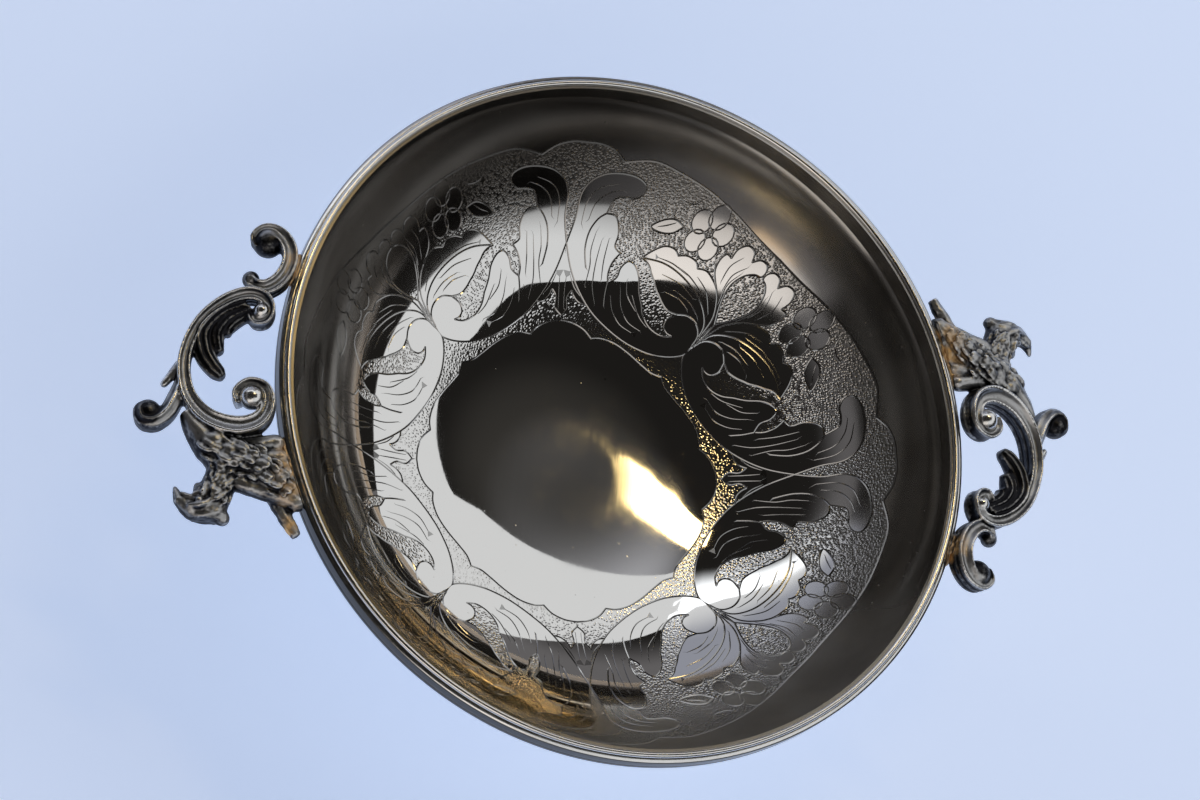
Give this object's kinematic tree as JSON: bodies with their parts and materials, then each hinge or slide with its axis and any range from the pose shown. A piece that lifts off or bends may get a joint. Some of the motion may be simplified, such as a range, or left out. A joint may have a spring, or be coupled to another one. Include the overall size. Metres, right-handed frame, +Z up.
{
  "type": "candy dish",
  "caption": "Round footed silver candy dish with an engraved bowl, a reeded rim and cast scroll-and-bird handles at both sides.",
  "frame": {"origin": "on the table, under the middle of the foot", "axes": "+Z up along the dish's axis, +X through the right handle, +Y along that handle towards its bird"},
  "size_m": [0.163, 0.12, 0.048],
  "materials": {
    "bowl_silver": "polished silver, engraved and tarnished inside",
    "rim_silver": "polished drawn silver wire",
    "foot_silver": "polished silver",
    "cast_silver": "cast silver, darkened in its hollows and worn bright on its edges",
    "solder": "rough golden-brown hard solder"
  },
  "bodies": {
    "root": {"bowl": "bowl_silver", "rim_wire": "rim_silver", "foot_collar": "foot_silver", "foot_wire": "foot_silver", "foot_solder": "solder", "handle_right": "cast_silver", "handle_left": "cast_silver", "solder_right_bird": "solder", "solder_right_scroll": "solder", "solder_left_bird": "solder", "solder_left_scroll": "solder"}
  },
  "joints": []
}
